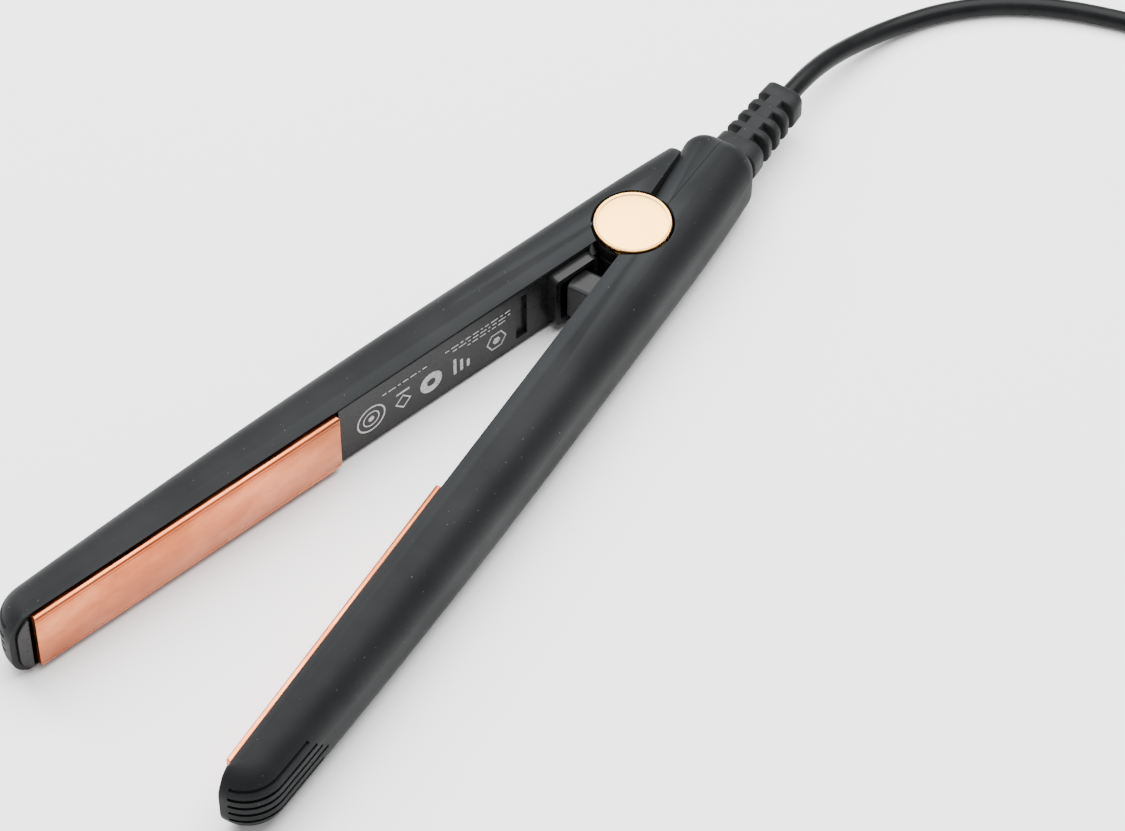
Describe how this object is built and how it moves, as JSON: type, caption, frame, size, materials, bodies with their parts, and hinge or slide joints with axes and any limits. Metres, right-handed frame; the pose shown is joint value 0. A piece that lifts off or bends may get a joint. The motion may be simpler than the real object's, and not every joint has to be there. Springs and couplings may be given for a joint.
{
  "type": "flat iron",
  "caption": "Small hair-straightening iron lying open on its side: two sprung hinged arms with floating heating plates, a ribbed strain relief, mains cord and plug.",
  "frame": {"origin": "on the pivot's axis, at the flat face of the lower pivot cap, on which the iron lies", "axes": "+Z along the pivot's axis, up as it lies; +X along the fixed arm towards its tip; +Y from the plates' meeting plane into the fixed arm"},
  "size_m": [0.3089, 0.2321, 0.022],
  "materials": {
    "shell": "soft-touch matt charcoal, slightly rubbery",
    "frame": "moulded gloss black",
    "plate_coating": "rose-gold ceramic coating on aluminium, satin",
    "cap": "pale rose-gold plating, polished",
    "steel": "plain steel",
    "zinc_screw": "zinc-plated steel",
    "spring_steel": "spring steel",
    "washer": "natural nylon",
    "ceramic": "unglazed alumina",
    "insulation": "amber polyimide film",
    "silicone": "red-brown silicone",
    "cutout_can": "drawn aluminium can",
    "wire": "white silicone-sheathed wire",
    "crimp": "tinned brass",
    "gland_rubber": "matt black moulded PVC",
    "cord": "satin black PVC",
    "tie": "black strap",
    "plug": "moulded black PVC",
    "plug_pin": "nickel-free brass"
  },
  "bodies": {
    "fixed_arm": {"shell_fixed": "shell", "rear_cover": "shell", "frame_fixed": "frame", "screws_fixed": "zinc_screw", "cushions_fixed": "silicone", "leads_fixed": "wire", "pivot_pin": "steel", "cap_upper": "cap", "cap_lower": "cap", "thrust_washers": "washer", "arm_spring": "spring_steel", "strain_relief": "gland_rubber", "cord_inner": "cord", "cord_clamp": "frame", "clamp_screw": "zinc_screw", "wire_crimps": "crimp", "cord_tube": "cord", "cord_tail": "cord", "cord_coil": "cord", "cord_tie": "tie", "plug_body": "plug", "plug_pins": "plug_pin"},
    "moving_arm": {"shell_moving": "shell", "frame_moving": "frame", "screws_moving": "zinc_screw", "leads_moving": "wire", "cushions_moving": "silicone"},
    "plate_on_fixed_arm": {"plate_fixed": "plate_coating", "heater_fixed": "ceramic", "insulator_fixed": "insulation", "clip_fixed": "spring_steel", "thermal_cutout": "cutout_can"},
    "plate_on_moving_arm": {"plate_moving": "plate_coating", "heater_moving": "ceramic", "insulator_moving": "insulation", "clip_moving": "spring_steel"}
  },
  "joints": [
    {"name": "arm_hinge", "type": "hinge", "parent": "fixed_arm", "child": "moving_arm", "pos_m": [0, 0, 0.0102], "axis": [0, 0, 1], "range_deg": [0, 18.6], "stiffness_Nm_per_rad": 0.35, "springref_deg": -40.11, "deforming": ["arm_spring"]},
    {"name": "fixed_plate_float", "type": "slide", "parent": "fixed_arm", "child": "plate_on_fixed_arm", "axis": [0, 1, 0], "range_m": [0, 0.0006], "stiffness_N_per_m": 4000, "springref_m": -0.0005, "deforming": ["cushions_fixed"]},
    {"name": "moving_plate_float", "type": "slide", "parent": "moving_arm", "child": "plate_on_moving_arm", "axis": [-0.319, -0.9478, 0], "range_m": [0, 0.0006], "stiffness_N_per_m": 4000, "springref_m": -0.0005, "deforming": ["cushions_moving"]}
  ]
}
